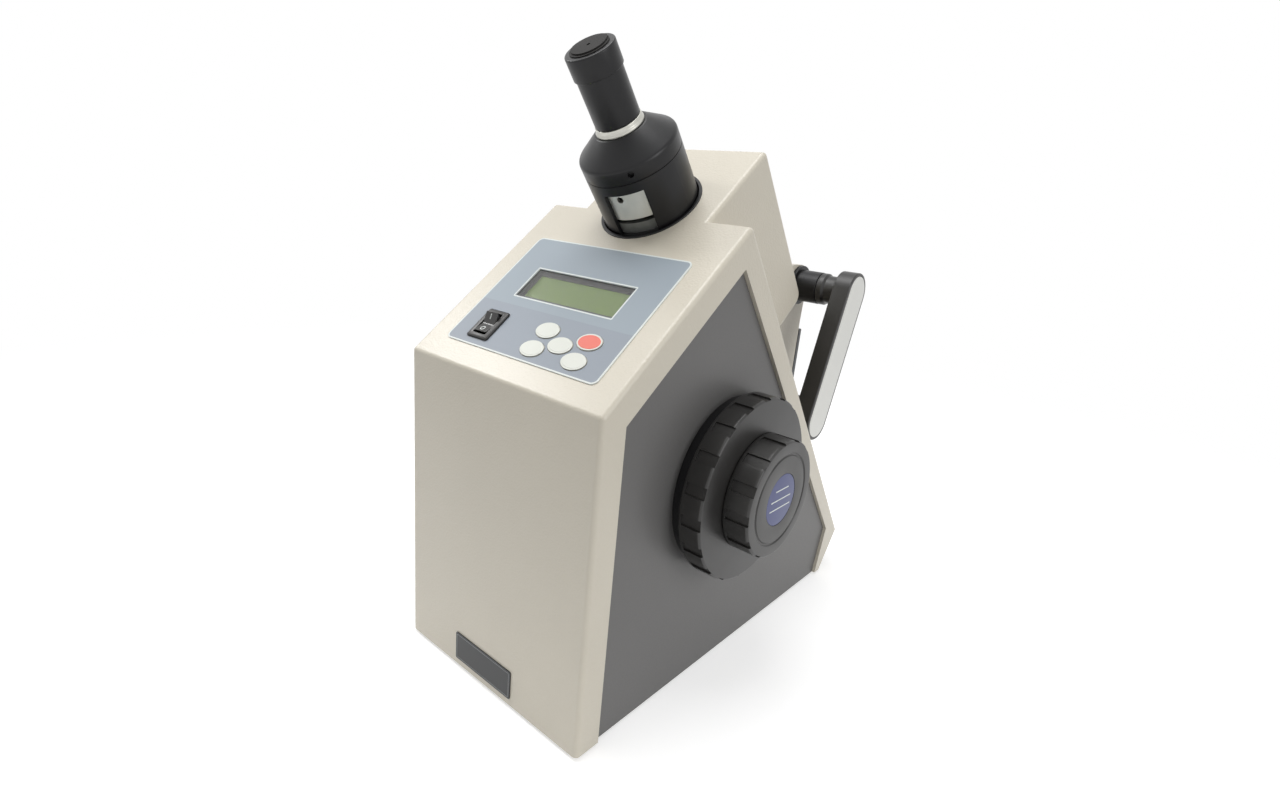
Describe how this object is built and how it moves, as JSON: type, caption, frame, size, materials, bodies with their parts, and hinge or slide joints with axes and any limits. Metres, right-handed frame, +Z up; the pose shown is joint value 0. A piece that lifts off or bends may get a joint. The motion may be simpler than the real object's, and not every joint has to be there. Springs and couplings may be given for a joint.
{
  "type": "abbe refractometer",
  "caption": "Bench Abbe refractometer with sloped console and readout, inclined eyepiece, coaxial side handwheels, hinged rear prism box and swinging lamp arm.",
  "frame": {"origin": "middle of the whole object's box, at the bench top", "axes": "+X to the operator's right, where the handwheels are; +Y from the console to the rear; +Z up"},
  "size_m": [0.1997, 0.3278, 0.3823],
  "materials": {
    "cream_paint": "textured powder coat",
    "grey_paint": "satin paint",
    "dark_paint": "dark grey satin paint",
    "steel_sheet": "zinc-plated sheet",
    "black_rubber": "moulded",
    "label_film": "matt polyester film",
    "clear_window": "clear",
    "display_green": "reflective display",
    "key_white": "satin",
    "key_red": "satin",
    "black_plastic": "fine-textured moulding",
    "bare_aluminium": "matt",
    "dark_plate": "matt",
    "black_metal": "satin black",
    "silver_ring": "fine-turned",
    "optical_glass": "polished",
    "mirror_glass": "front-silvered",
    "steel_bar": "ground",
    "brass_part": "turned",
    "cast_part": "machined casting",
    "white_inlay": "satin",
    "disc_blue": "printed film",
    "board_green": "solder mask",
    "lamp_glass": "clear"
  },
  "bodies": {
    "casing": {"main_casing": "cream_paint", "right_side_panel": "grey_paint", "left_side_panel": "grey_paint", "base_plate": "steel_sheet", "rubber_feet": "black_rubber", "console_label": "label_film", "display_window": "clear_window", "display_module": "display_green", "switch_frame": "black_plastic", "nameplate": "dark_plate", "barrel_collar": "black_metal", "telescope_barrel": "black_metal", "barrel_hood": "black_metal", "eyepiece_sleeve": "silver_ring", "telescope_glass": "optical_glass", "objective_tube": "cast_part", "fold_mirror": "mirror_glass", "handwheel_bearing": "black_metal", "optics_frame": "cast_part", "prism_bracket": "cream_paint", "lower_prism_box": "dark_paint", "refracting_prism": "optical_glass", "hinge_pin": "steel_bar", "arm_pivot_tube": "black_metal", "circuit_boards": "board_green", "power_supply": "steel_sheet", "rear_sockets": "black_plastic"},
    "dispersion_drum": {"dispersion_drum": "silver_ring", "upper_amici_prism": "optical_glass"},
    "counter_cell": {"counter_cell": "silver_ring", "lower_amici_prism": "optical_glass"},
    "idler": {"compensator_idler": "brass_part"},
    "eye_tube": {"eye_tube": "black_metal"},
    "eye_lens": {"eye_lens_cell": "cast_part", "eye_lens": "optical_glass"},
    "dust_cap": {"dust_cap": "black_plastic"},
    "coarse_wheel": {"coarse_handwheel": "black_plastic", "coarse_shaft": "steel_bar", "drive_balls": "steel_bar"},
    "fine_wheel": {"fine_handwheel": "black_plastic", "fine_shaft": "steel_bar", "wheel_disc": "disc_blue"},
    "mirror": {"mirror_carrier": "cast_part", "friction_sector": "brass_part", "swinging_mirror": "mirror_glass"},
    "prism_lid": {"upper_prism_box": "dark_paint", "entering_prism": "optical_glass", "lid_knob": "bare_aluminium"},
    "lamp_arm": {"lamp_arm": "black_plastic", "arm_inlay": "white_inlay"},
    "condenser": {"condenser_tube": "black_metal", "condenser_lens": "optical_glass", "lamp": "lamp_glass"},
    "power_rocker": {"power_rocker": "black_plastic"},
    "key_rear_left": {"key_rear_left": "key_white"},
    "key_rear_right": {"key_rear_right": "key_red"},
    "key_middle": {"key_middle": "key_white"},
    "key_front_left": {"key_front_left": "key_white"},
    "key_front_right": {"key_front_right": "key_white"}
  },
  "joints": [
    {"name": "dispersion_turn", "type": "hinge", "parent": "casing", "child": "dispersion_drum", "pos_m": [-0.0186, -0.05795, 0.31207], "axis": [0, -0.632, 0.7749], "continuous": true},
    {"name": "counter_turn", "type": "hinge", "parent": "casing", "child": "counter_cell", "pos_m": [-0.0186, -0.04531, 0.29657], "axis": [0, -0.632, 0.7749], "continuous": true},
    {"name": "idler_turn", "type": "hinge", "parent": "casing", "child": "idler", "pos_m": [-0.0186, -0.05055, 0.303], "axis": [0, 0.7749, 0.632], "continuous": true},
    {"name": "focus_turn", "type": "hinge", "parent": "casing", "child": "eye_tube", "pos_m": [-0.0186, -0.08955, 0.35081], "axis": [0, -0.632, 0.7749], "range_deg": [-180, 180]},
    {"name": "focus_slide", "type": "slide", "parent": "eye_tube", "child": "eye_lens", "axis": [0, -0.632, 0.7749], "range_m": [-0.0012, 0.0012]},
    {"name": "cap_lift", "type": "slide", "parent": "eye_tube", "child": "dust_cap", "axis": [0, -0.632, 0.7749], "range_m": [0, 0.014]},
    {"name": "coarse_turn", "type": "hinge", "parent": "casing", "child": "coarse_wheel", "pos_m": [0.0714, -0.0415, 0.1365], "axis": [1, 0, 0], "range_deg": [-77.14, 77.14]},
    {"name": "fine_turn", "type": "hinge", "parent": "casing", "child": "fine_wheel", "pos_m": [0.0894, -0.0415, 0.1365], "axis": [1, 0, 0], "range_deg": [-271, 271]},
    {"name": "mirror_swing", "type": "hinge", "parent": "casing", "child": "mirror", "pos_m": [-0.0186, 0.01307, 0.15062], "axis": [1, 0, 0], "range_deg": [-21.5, 21.5]},
    {"name": "lid_hinge", "type": "hinge", "parent": "casing", "child": "prism_lid", "pos_m": [-0.0186, 0.0729, 0.1655], "axis": [1, 0, 0], "range_deg": [0, 55]},
    {"name": "arm_swing", "type": "hinge", "parent": "casing", "child": "lamp_arm", "pos_m": [0.0314, 0.1206, 0.2442], "axis": [1, 0, 0], "range_deg": [0, 150]},
    {"name": "condenser_turn", "type": "hinge", "parent": "lamp_arm", "child": "condenser", "pos_m": [0.0314, 0.08998, 0.14827], "axis": [1, 0, 0], "range_deg": [-90, 90]},
    {"name": "rocker_tilt", "type": "hinge", "parent": "casing", "child": "power_rocker", "pos_m": [-0.0551, -0.13981, 0.2213], "axis": [1, 0, 0], "range_deg": [-18, 0]},
    {"name": "key_rear_left_press", "type": "slide", "parent": "casing", "child": "key_rear_left", "axis": [0, 0.632, -0.7749], "range_m": [0, 0.0005], "stiffness_N_per_m": 400, "springref_m": -0.001},
    {"name": "key_rear_right_press", "type": "slide", "parent": "casing", "child": "key_rear_right", "axis": [0, 0.632, -0.7749], "range_m": [0, 0.0005], "stiffness_N_per_m": 400, "springref_m": -0.001},
    {"name": "key_middle_press", "type": "slide", "parent": "casing", "child": "key_middle", "axis": [0, 0.632, -0.7749], "range_m": [0, 0.0005], "stiffness_N_per_m": 400, "springref_m": -0.001},
    {"name": "key_front_left_press", "type": "slide", "parent": "casing", "child": "key_front_left", "axis": [0, 0.632, -0.7749], "range_m": [0, 0.0005], "stiffness_N_per_m": 400, "springref_m": -0.001},
    {"name": "key_front_right_press", "type": "slide", "parent": "casing", "child": "key_front_right", "axis": [0, 0.632, -0.7749], "range_m": [0, 0.0005], "stiffness_N_per_m": 400, "springref_m": -0.001}
  ],
  "couplings": [
    {"joint": "counter_turn", "follows": "dispersion_turn", "ratio": -1},
    {"joint": "idler_turn", "follows": "dispersion_turn", "ratio": -5.4375},
    {"joint": "focus_slide", "follows": "focus_turn", "m_per_rad": 0.00038},
    {"joint": "fine_turn", "follows": "coarse_turn", "ratio": 3.5},
    {"joint": "mirror_swing", "follows": "coarse_turn", "ratio": -0.27075}
  ]
}
